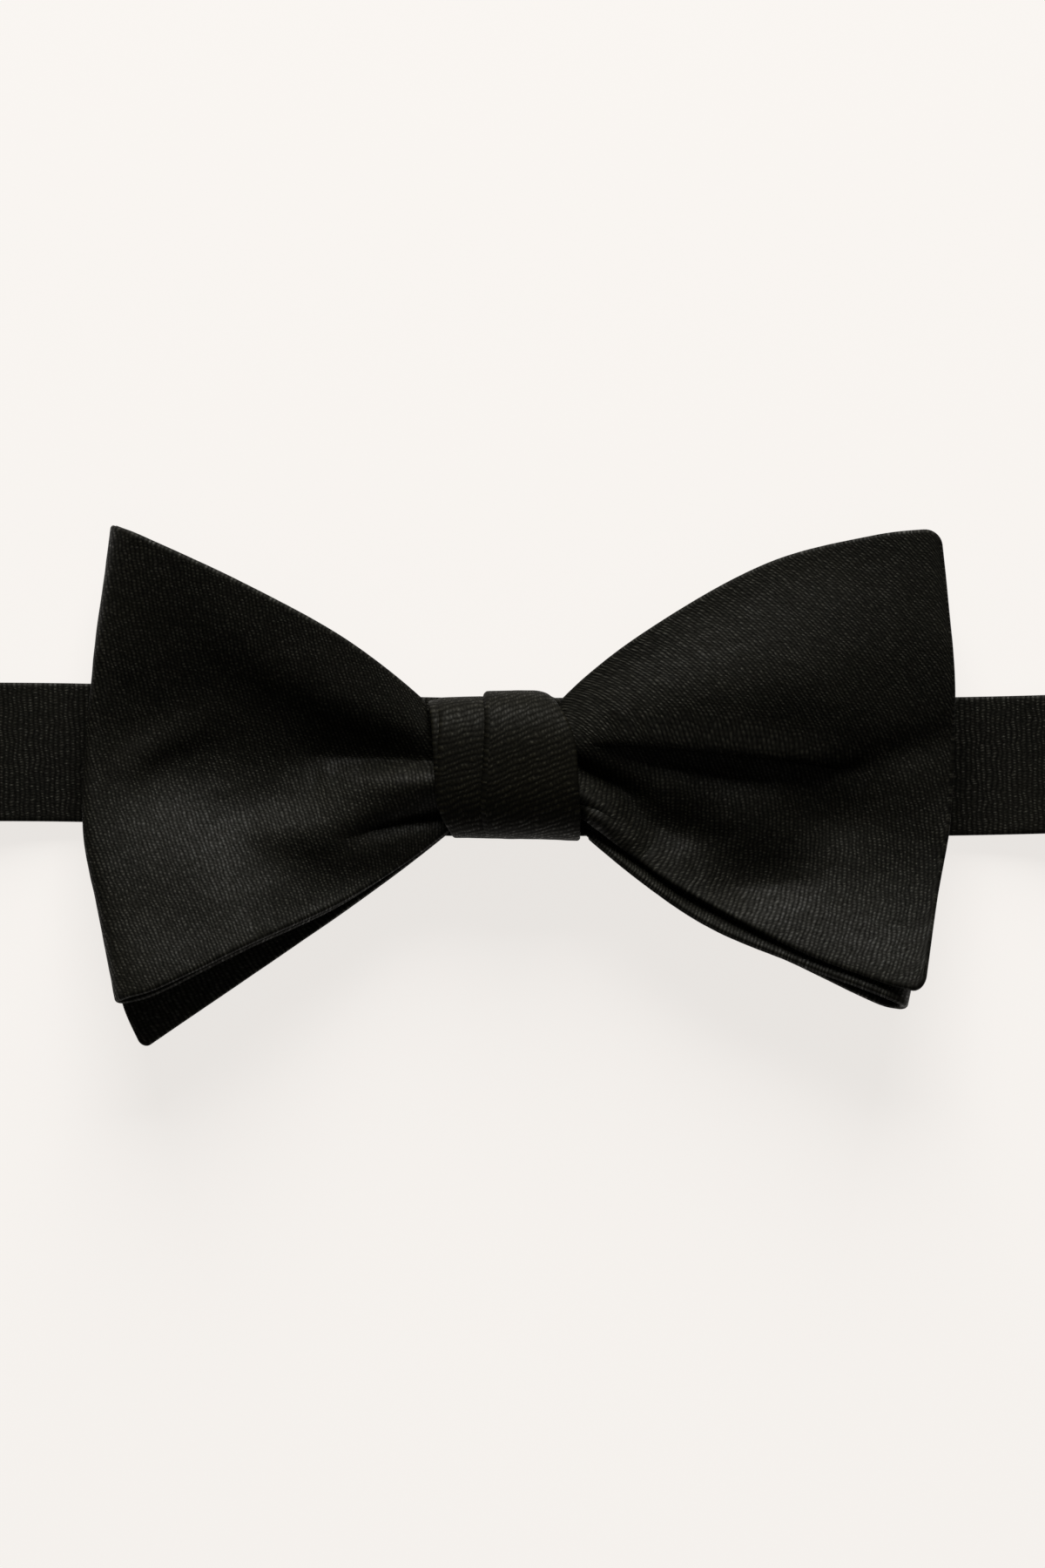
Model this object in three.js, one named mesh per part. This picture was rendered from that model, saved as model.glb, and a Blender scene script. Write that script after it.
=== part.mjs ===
// A black satin self-tie bow tie, tied and laid on its back, in millimetres.
// The front of the bow faces up (+Z), its top edge points along +Y and +X is to the right.
// It is built as it is tied: a neck band, a strip folded into the front bow, a second strip
// folded into the back bow behind it, and the strap that wraps them into the centre knot.
// The origin is on the surface it lies on, under the middle of its outline.

import * as THREE from "three";

// Driving dimensions.
const CLOTH = 1.1; // two plies of satin with an interlining between them
const BAND_WIDTH = 19; // the neck band, as wide as in the photograph
const BAND_IN_KNOT = 13.2; // the band squeezed together inside the knot
const CORNER = { front: 2.4, back: 1.5 }; // radius of the sewn corners at the strips' free ends
const WAIST = { front: 43, back: 34 }; // where each strip crosses the middle, in mesh steps from its start
const CURL_FROM = -0.72; // a strip's lower edge curls up beyond this place of its width
const KNOT = { centreY: 2.4, centreZ: 8.9, halfHeight: 9.1, halfDepth: 6.9 };
const KNOT_ROUNDING = { front: 2.7, back: 4.6 }; // exponents of the knot's outline seen from the side
const KNOT_PLEAT = 0.7; // how far the overlapping part of the knot stands over the part beside it
const ORIGIN = { x: 0.13, y: -0.05 }; // middle of the outline, measured from the middle of the band
const [FRONT_ACROSS, BACK_ACROSS, KNOT_ACROSS, BAND_ACROSS] = [20, 12, 10, 4]; // mesh steps across each
const FINE = 1e-3; // step used to find a surface's normal, in mesh steps and shares

// Rows of a table as objects with the columns' names.
function table(columns, rows) {
  const names = columns.split(" ");
  return rows.map((row) => Object.fromEntries(names.map((name, i) => [name, row[i]])));
}

// Sections of a folded strip. "at" counts the mesh steps from the strip's start, xb and yb are the
// section's lower end, xt and yt its upper end, z its height. cup lifts both ends over the place mid
// of its width, from -1 to 1, curl lifts the lower edge alone, out pushes the middle away from the
// knot, and fold is the section's share of the folds below.
const FRONT_STRIP = table("at xb yb xt yt z cup mid curl out fold", [
  [0, -6.2, -3.6, -7.2, 8.4, 8.4, 0, 0, 0, 0, 0.15],
  [1, -8, -4.6, -12.2, 9.2, 8.2, 0, 0, 0, 0, 0.2],
  [2, -9.8, -6.2, -13.4, 11.2, 8, 0.2, 0.4, 0, 0, 0.22],
  [6, -23.5, -16, -24, 18.9, 6.4, 0.8, 0.4, 0.6, 0, 0.28],
  [10, -37, -22.4, -38.5, 26.6, 5.9, 3.6, 0.4, 1, -0.6, 0.25],
  [14, -48.6, -28.2, -51, 32.9, 5.9, 4, 0.4, 0.8, -2.8, 0.2],
  [17, -52.8, -29.5, -53.8, 34.6, 6.6, 3.4, 0.4, 0.4, -4, 0.1],
  [19, -53.9, -29.4, -54.7, 35.1, 8, 3.2, 0.35, 0, -4.4, 0.1],
  [21, -52.9, -28.6, -53.9, 34.8, 9.8, 3, 0.25, 0, -4.2, 0.4],
  [24, -48.5, -26.8, -50.5, 33.4, 10.9, 3, 0.12, 0, -2.8, 0.9],
  [29, -36.6, -21.1, -38, 27.6, 11.9, 2.4, 0.1, 0, -0.6, 1],
  [34, -23, -15, -24, 20, 12.6, 1, 0, 0, 0, 1],
  [39, -10.2, -6.9, -13.4, 11.7, 12.6, -0.6, 0, 0, 0, 1],
  [40, -8.8, -4.7, -12.4, 9.5, 12.4, -1.2, 0, 0, 0, 1],
  [43, 0, -3.6, -2.4, 8.8, 12.7, -0.9, 0, 0, 0, 1],
  [46, 7.4, -4.3, 4.9, 8.6, 12.4, -1.4, 0, 0, 0, 1],
  [47, 9.2, -5, 6, 11.7, 12.3, -0.9, 0, 0, 0, 1],
  [52, 20.6, -13.5, 17, 20.6, 12.9, 1, 0.2, 0, 0, 1],
  [58, 35.7, -21.6, 33.5, 29.9, 12.7, 1.2, 0.25, 0, 0.5, 1],
  [63, 48.3, -26.6, 48, 33.7, 11.7, 2, 0.25, 0, 2, 1],
  [67, 54.5, -28.2, 57, 34.7, 10.8, 2.6, 0.25, 0, 3, 0.9],
]);
const BACK_STRIP = table("at xb yb xt yt z cup mid curl out fold", [
  [0, 4.8, -3.2, 4.2, 8.4, 5.3, 0.2, 0, 0, 0, 0.1],
  [2, 10, -6.8, 9.4, 12, 5.1, 0.4, 0.4, 0, 0, 0.1],
  [6, 24, -17.9, 24, 22.6, 4.5, 1.2, 0.4, 0.6, 0, 0.2],
  [10, 38.5, -24.9, 38, 29.6, 4.4, 2, 0.4, 0.8, 0.5, 0.2],
  [13, 48.2, -29.6, 51, 32.4, 4.2, 2.4, 0.4, 0.8, 2.6, 0.1],
  [15, 51.2, -30.4, 54.4, 33.2, 4.7, 2.6, 0.4, 0.9, 3.9, 0.05],
  [16, 51.9, -30.2, 55.2, 33.3, 5.8, 2.7, 0.4, 1.1, 4.3, 0.05],
  [17, 51.2, -29.6, 54.2, 33.1, 6.8, 2.8, 0.4, 0.9, 3.9, 0.1],
  [19, 47.4, -28, 50.2, 32, 7.2, 2.7, 0.4, 1, 2.6, 0.3],
  [22, 38.2, -24.6, 38, 29.2, 7.4, 2.4, 0.4, 1, 0.6, 0.52],
  [26, 24.1, -18.4, 24, 22.4, 7.4, 1.8, 0.4, 1.4, 0, 0.52],
  [30, 9.9, -7.7, 8.4, 12, 7.1, 1, 0.4, 0.6, 0, 0.2],
  [31, 7.9, -4.8, 5.8, 9.4, 7, 0, 0, 0, 0, 0.15],
  [34, 0, -4.2, -1.4, 9, 6.9, 0, 0, 0, 0, 0.1],
  [37, -8.3, -4.9, -12.2, 9.1, 6.7, 0, 0, 0, 0, 0.15],
  [38, -10.3, -7.2, -13.4, 11, 6.4, 0.2, 0.4, 0, 0, 0.2],
  [42, -23.1, -16.8, -24, 18.2, 4.8, 0.4, 0.4, 0.4, 0, 0.25],
  [46, -37.3, -26.6, -38, 25.4, 4.2, 3.4, 0.5, 0.2, -0.8, 0.22],
  [49, -46.6, -33, -49, 30, 4.1, 4, 0.5, 0, -2.6, 0.15],
  [52, -50.9, -36, -53.5, 31.8, 4, 4.2, 0.5, 0, -4.2, 0.1],
]);

// How much of "out" each place across a section gets, from the lower end (-1) to the upper (1).
const LOOP_EDGE = table("at share", [
  [-1, 0],
  [-0.6, 0.55],
  [-0.26, 1],
  [0.35, 0.68],
  [1, 0],
]);
const BLADE_EDGE = table("at share", [
  [-1, 0],
  [-0.6, 0.5],
  [-0.25, 1],
  [0.3, 0.95],
  [0.7, 0.45],
  [1, 0],
]);
const BACK_BLADE_EDGE = table("at share", [
  [-1, 0],
  [-0.8, 0.62],
  [-0.4, 0.95],
  [0.1, 1],
  [1, 0],
]);

// Folds pressed into the bow from the front. Each is a curve from (x0, y0) drawn towards (x1, y1) and
// ending at (x2, y2), with a height drawn in the same way, valleys negative. w0 and w2 are half its
// width at both ends, up widens its upper side, and power is its shape: 1.5 a crease, 2 a round fold.
const FOLDS = table("x0 y0 x1 y1 x2 y2 h0 h1 h2 w0 w2 up power", [
  // left wing: the crease out of the knot, the wide hollow it runs into, the ridge under it, a short
  // crease, the dent with the raised corner beyond it, two dimples and a low crest at the outer bend
  [-4, 3.2, -18, 2.4, -32, 4.8, -1, -3.6, 0, 1.2, 3.8, 1.2, 1.6],
  [-13, 3.6, -34, -1, -58, 6, 0, -8, -3.4, 3.6, 13, 1.1, 2],
  [-3, 0, -16, 1.3, -27, 0, 0.6, 2.8, 0, 1.7, 3.2, 0.9, 2],
  [-3, -3.2, -15, -4, -25, -8, -0.8, -4, 0, 1.2, 2.2, 0.8, 1.6],
  [-10, -8, -20, -13, -36, -20, -1.4, -6.4, 0, 3.8, 6.5, 1.2, 2],
  [-30, -22, -42, -25, -55, -29, 0, 1, 1.6, 4, 9, 1, 2],
  [-25, -5, -41, -4.4, -36, -10, 0, -1.8, -1, 2.4, 3.4, 1, 2],
  [-37, -9.6, -35, -13, -22, -11, -0.8, -1.4, 0, 4.2, 2.6, 0.8, 2],
  [-54, 0.6, -50, 6.6, -41, 8.4, 0, 2.4, 0.2, 1.8, 2.4, 1.2, 2],
  // right wing: the full upper lobe, the deep crease under it and its outer end, the wide hollow, three
  // dimples in it, the raised corner, and a ridge between two short creases beside the knot
  [3, 3, 22, 13, 54, 18, 0.4, 6, 2.2, 3, 13, 1.1, 2],
  [10, 5, 26, 6.8, 46, 1.4, 0, -4.8, -1.2, 2.6, 9.6, 0.4, 2.6],
  [38, 1.8, 50, 3.4, 59, 7.4, 0, -1.4, -0.6, 2, 3.4, 0.8, 2],
  [13, -3, 33, -20, 56, -5, 0, -5.4, -1.6, 5, 13.5, 0.95, 2],
  [13, -1.5, 20, -8.6, 27, -5, -0.4, -3.6, 0, 2.4, 3.4, 1.4, 2],
  [35, -2, 41, -7, 50, -3, 0, -2, 0, 3.2, 4.4, 1.2, 2],
  [27.5, -14, 34, -17, 41, -13.6, -0.6, -3.2, -0.6, 3, 3, 1.6, 2],
  [36, -20, 46, -25, 55, -29, 0, 0.6, 1.4, 3, 8, 1, 2],
  [5, 0.6, 10, -3.4, 17, -9, 1.6, 4.4, 0, 1.6, 2.4, 0.9, 1.8],
  [7, 3, 13, 0.8, 16.4, -2.4, -0.6, -3.4, 0, 1, 1.8, 1, 2],
  [6, -1.6, 11, -3, 14.6, -7, -0.4, -1.4, 0, 0.6, 0.7, 1, 2],
]);
const FOLD_STEPS = 10; // straight pieces that a fold's curve is measured by
const FOLD_BLEND = 0.7; // pieces that are this much further away still count

// The neck loop seen from the side, right half: the run behind the bow, the bend, the run below.
const BAND_SIDE = table("x z", [
  [0, 3.6],
  [10, 3.5],
  [19, 2.6],
  [29, 1.98],
  [45, 1.95],
  [60, 2],
  [70, 3],
  [79, 5.8],
  [86, 8.4],
  [91.5, 9.2],
  [95.6, 7.6],
  [97.3, 4.7],
  [96.2, 2],
  [93, 0.75],
  [88, 0.55],
  [66, 0.55],
  [33, 0.55],
]);
const BAND_STEPS = 72;
const BAND_MIDDLE = table("at y", [
  [-98, 4.3],
  [-59, 4.3],
  [-14, 2.5],
  [14, 2.4],
  [59, 2.45],
  [98, 3.6],
]);
const KNOT_REACH = 9; // the band is squeezed and cupped this far from the middle, and less beyond it
const KNOT_SPREAD = 16;
const BAND_CUP = 0.3;

// The knot's two side edges and the pleat's share of the way between them, from the knot's lower
// edge (-1) over the front to its upper edge (1).
const KNOT_SIDES = table("at left right pleat", [
  [-1, -8.9, 8.4, 0.283],
  [-0.56, -10.7, 8.4, 0.332],
  [0.16, -11.7, 7.8, 0.389],
  [0.6, -12, 6.4, 0.438],
  [1, -12.4, 4.6, 0.482],
]);

// How much lower the knot's top and bottom edges lie across its width, from left (0) to right (1).
const KNOT_DROP = table("at top bottom", [
  [0, 0.4, 0],
  [0.4, 0.1, 0.1],
  [0.8, 0, 0.2],
  [0.92, 0.3, 0.3],
  [1, 1.2, 0.4],
]);
const KNOT_BACK = { left: -8.6, right: 8.2 };
const PLEAT_AT = 0.4; // share of the strap's own width where the overlapping part begins
const PLEAT_EDGE = 0.06; // share over which it rises

// Value of a named column at a place between the rows, on a smooth curve through them.
function column(rows, name, place) {
  const last = rows.length - 2;
  let i = rows.findIndex((row, k) => k <= last && place <= rows[k + 1].at);
  if (i < 0) i = last;
  const slope = (k) => {
    const before = rows[Math.max(k - 1, 0)];
    const after = rows[Math.min(k + 1, last + 1)];
    return (after[name] - before[name]) / (after.at - before.at);
  };
  const step = rows[i + 1].at - rows[i].at;
  const t = THREE.MathUtils.clamp((place - rows[i].at) / step, 0, 1);
  const rise = rows[i + 1][name] - rows[i][name];
  const a = slope(i) * step - rise;
  const b = rise - slope(i + 1) * step;
  return rows[i][name] + t * rise + t * (1 - t) * (a * (1 - t) + b * t);
}

function quadratic(a, b, c, s) {
  return (1 - s) * (1 - s) * a + 2 * s * (1 - s) * b + s * s * c;
}

// Height that one fold adds at a point of the bow seen from the front. All pieces of its curve count,
// the nearest ones most, so that the height changes without jumps.
function foldHeight(fold, x, y) {
  const pieces = [];
  for (let k = 0; k < FOLD_STEPS; k += 1) {
    const [from, to] = [k / FOLD_STEPS, (k + 1) / FOLD_STEPS];
    const startX = quadratic(fold.x0, fold.x1, fold.x2, from);
    const startY = quadratic(fold.y0, fold.y1, fold.y2, from);
    const dx = quadratic(fold.x0, fold.x1, fold.x2, to) - startX;
    const dy = quadratic(fold.y0, fold.y1, fold.y2, to) - startY;
    const share = ((x - startX) * dx + (y - startY) * dy) / (dx * dx + dy * dy);
    const t = THREE.MathUtils.clamp(share, 0, 1);
    const offX = x - startX - t * dx;
    const offY = y - startY - t * dy;
    pieces.push({ away: Math.hypot(offX, offY), along: (k + t) / FOLD_STEPS, offX, offY });
  }
  const nearest = Math.min(...pieces.map((piece) => piece.away));
  const weights = pieces.map((piece) => Math.exp((nearest - piece.away) / FOLD_BLEND));
  const total = weights.reduce((sum, weight) => sum + weight, 0);
  const mean = (name) => pieces.reduce((sum, piece, k) => sum + piece[name] * weights[k], 0) / total;
  const above = (mean("offY") / (Math.hypot(mean("offX"), mean("offY")) + FINE) + 1) / 2;
  const along = mean("along");
  const width = THREE.MathUtils.lerp(fold.w0, fold.w2, along) * THREE.MathUtils.lerp(1, fold.up, above);
  return quadratic(fold.h0, fold.h1, fold.h2, along) * Math.exp(-((nearest / width) ** fold.power));
}

// The middle surface of a folded strip: "place" in mesh steps along it, v across it from -1 to 1.
function stripPoint(rows, edge, place, v) {
  const share = (v + 1) / 2;
  const x = THREE.MathUtils.lerp(column(rows, "xb", place), column(rows, "xt", place), share);
  const y = THREE.MathUtils.lerp(column(rows, "yb", place), column(rows, "yt", place), share);
  const pushed = x + column(rows, "out", place) * column(edge(place), "share", v);
  const folds = FOLDS.reduce((sum, fold) => sum + foldHeight(fold, pushed, y), 0);
  const bend = column(rows, "cup", place) * (v - column(rows, "mid", place)) ** 2;
  const curl = column(rows, "curl", place) * Math.max((CURL_FROM - v) / (1 + CURL_FROM), 0) ** 2;
  const lift = bend + curl + column(rows, "fold", place) * folds;
  return new THREE.Vector3(pushed, y, column(rows, "z", place) + lift);
}

// Closed wall of cloth around a middle surface, which is a loop or has two ends.
function clothWall(surface, places, acrossSteps, looped) {
  const positions = [];
  const index = [];
  const along = looped ? places.length - 1 : places.length;
  const row = acrossSteps + 1;
  const normal = new THREE.Vector3();
  for (const side of [0.5, -0.5])
    for (let i = 0; i < along; i += 1)
      for (let j = 0; j <= acrossSteps; j += 1) {
        const v = (2 * j) / acrossSteps - 1;
        const inner = THREE.MathUtils.clamp(v, -1 + FINE, 1 - FINE);
        const from = looped ? places[i] - FINE : Math.max(places[i] - FINE, places[0]);
        const to = looped ? places[i] + FINE : Math.min(places[i] + FINE, places[along - 1]);
        const du = surface(to, inner).sub(surface(from, inner));
        const dv = surface(places[i], inner + FINE).sub(surface(places[i], inner - FINE));
        normal.crossVectors(du, dv).normalize();
        positions.push(...surface(places[i], v).addScaledVector(normal, side * CLOTH).toArray());
      }
  const front = (i, j) => (i % along) * row + j;
  const back = (i, j) => along * row + front(i, j);
  const quad = (a, b, c, d) => index.push(a, b, c, a, c, d);
  const spans = looped ? along : along - 1;
  for (let i = 0; i < spans; i += 1) {
    for (let j = 0; j < acrossSteps; j += 1) {
      quad(front(i, j), front(i + 1, j), front(i + 1, j + 1), front(i, j + 1));
      quad(back(i, j), back(i, j + 1), back(i + 1, j + 1), back(i + 1, j));
    }
    quad(front(i, 0), back(i, 0), back(i + 1, 0), front(i + 1, 0));
    quad(front(i, acrossSteps), front(i + 1, acrossSteps), back(i + 1, acrossSteps), back(i, acrossSteps));
  }
  if (!looped)
    for (let j = 0; j < acrossSteps; j += 1) {
      quad(front(0, j), front(0, j + 1), back(0, j + 1), back(0, j));
      quad(front(spans, j), back(spans, j), back(spans, j + 1), front(spans, j + 1));
    }
  const geometry = new THREE.BufferGeometry();
  geometry.setAttribute("position", new THREE.Float32BufferAttribute(positions, 3));
  geometry.setIndex(index);
  geometry.computeVertexNormals();
  return geometry;
}

// Even mesh steps along a strip, with two more in its last stretch for the rounded corners.
function stripPlaces(rows) {
  const last = rows[rows.length - 1].at;
  const places = Array.from({ length: last }, (unused, i) => i);
  return [...places, last - 0.62, last - 0.2, last];
}

// The sewn corners: near its free end a strip is narrower by a quarter round at both edges.
function roundedCorners(rows, radius, surface) {
  const last = rows[rows.length - 1].at;
  return (place, v) => {
    const middle = surface(place, 0);
    const left = middle.distanceTo(surface(last, 0));
    if (left >= radius || place < last - 4) return surface(place, v);
    const inset = radius - Math.sqrt(radius ** 2 - (radius - left) ** 2);
    const half = surface(place, 1).distanceTo(surface(place, -1)) / 2;
    return surface(place, v * (1 - inset / half));
  };
}

function clothMaterial(colour) {
  return new THREE.MeshStandardMaterial({ color: colour, roughness: 0.55, metalness: 0 });
}

// Front bow: a loop on the left, the waist under the knot and a free blade on the right.
function frontBow() {
  const edge = (place) => (place > WAIST.front ? BLADE_EDGE : LOOP_EDGE);
  const strip = (place, v) => stripPoint(FRONT_STRIP, edge, place, v);
  const surface = roundedCorners(FRONT_STRIP, CORNER.front, strip);
  const wall = clothWall(surface, stripPlaces(FRONT_STRIP), FRONT_ACROSS, false);
  const mesh = new THREE.Mesh(wall, clothMaterial(0x151514));
  mesh.name = "front_bow";
  return mesh;
}

// Back bow: a loop on the right, the waist behind the front bow and a free blade on the left.
function backBow() {
  const edge = (place) => (place > WAIST.back ? BACK_BLADE_EDGE : BLADE_EDGE);
  const strip = (place, v) => stripPoint(BACK_STRIP, edge, place, v);
  const surface = roundedCorners(BACK_STRIP, CORNER.back, strip);
  const wall = clothWall(surface, stripPlaces(BACK_STRIP), BACK_ACROSS, false);
  const mesh = new THREE.Mesh(wall, clothMaterial(0x111110));
  mesh.name = "back_bow";
  return mesh;
}

// Centre knot: the strap wrapped once round both waists and the band, with a lengthwise pleat.
function knotWrap() {
  const steps = 32;
  const surface = (place, v) => {
    const angle = (2 * Math.PI * place) / steps;
    const c = Math.cos(angle);
    const s = Math.sin(angle);
    const power = 2 / (s > 0 ? KNOT_ROUNDING.front : KNOT_ROUNDING.back);
    const y = KNOT.halfHeight * Math.sign(c) * Math.abs(c) ** power;
    const z = KNOT.halfDepth * Math.sign(s) * Math.abs(s) ** power;
    const forward = THREE.MathUtils.smoothstep(s, -0.9, -0.3);
    const left = THREE.MathUtils.lerp(KNOT_BACK.left, column(KNOT_SIDES, "left", c), forward);
    const right = THREE.MathUtils.lerp(KNOT_BACK.right, column(KNOT_SIDES, "right", c), forward);
    const share = (v + 1) / 2;
    const over = KNOT_PLEAT * forward * THREE.MathUtils.smoothstep(share, PLEAT_AT - PLEAT_EDGE, PLEAT_AT);
    const pleat = column(KNOT_SIDES, "pleat", c);
    const beside = THREE.MathUtils.mapLinear(share, PLEAT_AT, 1, pleat, 1);
    const x = THREE.MathUtils.lerp(left, right, share < PLEAT_AT ? (share / PLEAT_AT) * pleat : beside);
    const top = over * Math.max(c, 0) - column(KNOT_DROP, "top", share) * Math.max(c, 0) ** 3;
    const bottom = column(KNOT_DROP, "bottom", share) * Math.max(-c, 0) ** 3;
    const front = over * Math.max(s, 0);
    return new THREE.Vector3(x, KNOT.centreY + y + top - bottom, KNOT.centreZ + z + front);
  };
  const places = Array.from({ length: steps + 1 }, (unused, i) => i);
  const mesh = new THREE.Mesh(clothWall(surface, places, KNOT_ACROSS, true), clothMaterial(0x171715));
  mesh.name = "knot_wrap";
  return mesh;
}

// Neck band: one whole loop, flattened, that passes through the knot and lies on the surface.
function neckBand() {
  const mirrored = BAND_SIDE.slice(1).reverse();
  const path = new THREE.CatmullRomCurve3(
    [
      ...BAND_SIDE.map((row) => new THREE.Vector3(row.x, 0, row.z)),
      new THREE.Vector3(0, 0, BAND_SIDE[BAND_SIDE.length - 1].z),
      ...mirrored.map((row) => new THREE.Vector3(-row.x, 0, row.z)),
    ],
    true,
  );
  const surface = (place, v) => {
    const point = path.getPoint((place / BAND_STEPS + 1) % 1);
    const upper = THREE.MathUtils.smoothstep(point.z, 1.2, 1.9);
    const away = THREE.MathUtils.smoothstep(Math.abs(point.x), KNOT_REACH, KNOT_REACH + KNOT_SPREAD);
    const squeeze = upper * (1 - away);
    const width = THREE.MathUtils.lerp(BAND_WIDTH, BAND_IN_KNOT, squeeze);
    const y = column(BAND_MIDDLE, "y", point.x) + (v * width) / 2;
    return new THREE.Vector3(point.x, y, Math.max(point.z, CLOTH / 2) + BAND_CUP * squeeze * v * v);
  };
  const places = Array.from({ length: BAND_STEPS + 1 }, (unused, i) => i);
  const mesh = new THREE.Mesh(clothWall(surface, places, BAND_ACROSS, true), clothMaterial(0x131312));
  mesh.name = "neck_band";
  return mesh;
}

const bowTie = new THREE.Group();
bowTie.add(neckBand(), backBow(), frontBow(), knotWrap());
bowTie.position.set(-ORIGIN.x, -ORIGIN.y, 0);

export default bowTie;
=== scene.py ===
"""A black satin self-tie bow tie, tied and laid on its back on a pale surface, front side up.

The script follows the bow as it is tied: the neck band, the strip folded into the back bow, the strip
folded into the front bow, and the strap that wraps them into the knot. The cloth's sizes and places are
in millimetres from the middle of the tie: x to the right, y towards the bow's top edge and z up from the
surface. MM brings them to metres, and SHIFT to the frame's own origin.
"""

import math

import bmesh
import bpy
import numpy as np
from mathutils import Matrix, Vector, noise


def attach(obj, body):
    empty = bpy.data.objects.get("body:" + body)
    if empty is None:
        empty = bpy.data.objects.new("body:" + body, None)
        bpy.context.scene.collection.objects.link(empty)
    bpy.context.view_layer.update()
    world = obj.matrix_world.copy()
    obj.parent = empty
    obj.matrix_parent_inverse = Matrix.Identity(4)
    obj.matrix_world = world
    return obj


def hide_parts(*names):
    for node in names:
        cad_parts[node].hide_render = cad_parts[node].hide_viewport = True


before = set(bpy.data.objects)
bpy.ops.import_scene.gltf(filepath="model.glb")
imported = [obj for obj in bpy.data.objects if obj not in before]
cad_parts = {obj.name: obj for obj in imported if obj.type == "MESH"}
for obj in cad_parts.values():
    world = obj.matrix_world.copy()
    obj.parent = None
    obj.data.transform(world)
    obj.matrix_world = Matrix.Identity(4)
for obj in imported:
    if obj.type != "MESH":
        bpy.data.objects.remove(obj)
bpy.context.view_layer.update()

# Neck band
# One whole flattened loop of silk satin, two plies turned and sewn along both edges. It goes through the
# knot behind the bow, bends back softly at both ends and runs on underneath, flat on the surface.

MM = 0.001
CLOTH = 1.1  # two plies of satin with an interlining between them
HALF_CLOTH = CLOTH / 2
BAND_WIDTH = 19.0
BAND_IN_KNOT = 13.2  # the band squeezed together inside the knot
BAND_CUP = 0.3  # how far its edges stand up there
KNOT_REACH = 9.0  # the band is squeezed and cupped this far from the middle, and less beyond it
KNOT_SPREAD = 16.0  # length over which it opens out again
BETWEEN_RUNS = 1.2, 1.9  # the run underneath is below these heights, the run through the knot above them
BAND_ALONG, BAND_ACROSS = 720, 34  # mesh steps round the loop and across the band

# From the middle that the tables measure from to the frame's own.
SHIFT = Vector((-0.13, 0.05, 0)) * MM


def table(columns, rows):
    """A short table of named columns, one row for each section or fold."""
    return dict(zip(columns.split(), np.transpose(np.array(rows, float))))


# The neck loop seen from the side, right half: the run behind the bow, the bend, the run underneath.
BAND_SIDE = table("x z", [
    (0, 3.6), (10, 3.5), (19, 2.6), (29, 1.98), (45, 1.95), (60, 2.0), (70, 3.0), (79, 5.8), (86, 8.4),
    (91.5, 9.2), (95.6, 7.6), (97.3, 4.7), (96.2, 2.0), (93, 0.75), (88, 0.55), (66, 0.55), (33, 0.55),
])
# The y of its middle line, from the left bend (at -98) to the right one.
BAND_MIDDLE = table("at y", [(-98, 4.3), (-59, 4.3), (-14, 2.5), (14, 2.4), (59, 2.45), (98, 3.6)])


def column(rows, name, place):
    """Value of a named column at places between the rows, on a smooth curve through them."""
    at, value = rows["at"], rows[name]
    slope = np.empty_like(value)
    slope[1:-1] = (value[2:] - value[:-2]) / (at[2:] - at[:-2])
    slope[0] = (value[1] - value[0]) / (at[1] - at[0])
    slope[-1] = (value[-1] - value[-2]) / (at[-1] - at[-2])
    i = np.clip(np.searchsorted(at, place) - 1, 0, len(at) - 2)
    step = at[i + 1] - at[i]
    t = np.clip((place - at[i]) / step, 0, 1)
    rise = value[i + 1] - value[i]
    a = slope[i] * step - rise
    b = rise - slope[i + 1] * step
    return value[i] + t * rise + t * (1 - t) * (a * (1 - t) + b * t)


def smoothstep(x, low, high):
    """A soft rise from 0 at low to 1 at high."""
    t = np.clip((x - low) / (high - low), 0, 1)
    return t * t * (3 - 2 * t)


def loop_side(rows, turns=3):
    """The band's side profile as a closed table over its chord length, repeated past both ends."""
    x = np.concatenate([rows["x"], [0], -rows["x"][:0:-1]])
    z = np.concatenate([rows["z"], [rows["z"][-1]], rows["z"][:0:-1]])
    chord = np.hypot(np.diff(x, append=x[0]), np.diff(z, append=z[0]))
    start = np.concatenate([[0], np.cumsum(chord)])
    around = start[-1]
    at = np.concatenate([start[:-1] + around * turn for turn in range(turns)])
    return {"at": at, "x": np.tile(x, turns), "z": np.tile(z, turns), "around": around}


# The sewn edge of a strip in cross-section: a half round with the seam drawn in at its middle.
EDGE_STEPS = 8
SEAM_DEPTH = 0.16
SEAM_WIDTH = 0.3  # in radians round the edge
QUARTER = math.pi / 2


def edge_profile(flat):
    """Steps once round a strip's section: place across, face (1 front, -1 back) and turn from flat."""
    angle = np.linspace(0, math.pi, EDGE_STEPS + 1)[1:-1]
    turn = np.minimum(angle, math.pi - angle)
    face = np.where(angle > QUARTER, -1.0, 1.0)
    one, none = np.ones_like(flat), np.zeros_like(flat)
    v = np.concatenate([flat, np.ones_like(angle), flat[::-1], -np.ones_like(angle), flat[:1]])
    facing = np.concatenate([one, face, -one, -face, [1]])
    return v, facing, np.concatenate([none, turn, none, turn, [0]])


def turned_ends(places):
    """Places along a strip with its ends turned as its edges are, and each one's turn from flat."""
    turn = np.linspace(0, QUARTER, EDGE_STEPS // 2 + 1)[1:]
    first, last = (np.repeat(places[end], len(turn)) for end in (0, -1))
    end_turn = np.concatenate([turn[::-1], np.zeros(len(places)), turn])
    return np.concatenate([first, places, last]), end_turn


def across(surface_normal, direction, sign):
    """Unit vectors in the surface at right angles to a direction in it, pointing to one side."""
    out = np.cross(direction, surface_normal)
    return out / np.linalg.norm(out, axis=-1, keepdims=True) * sign


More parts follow.
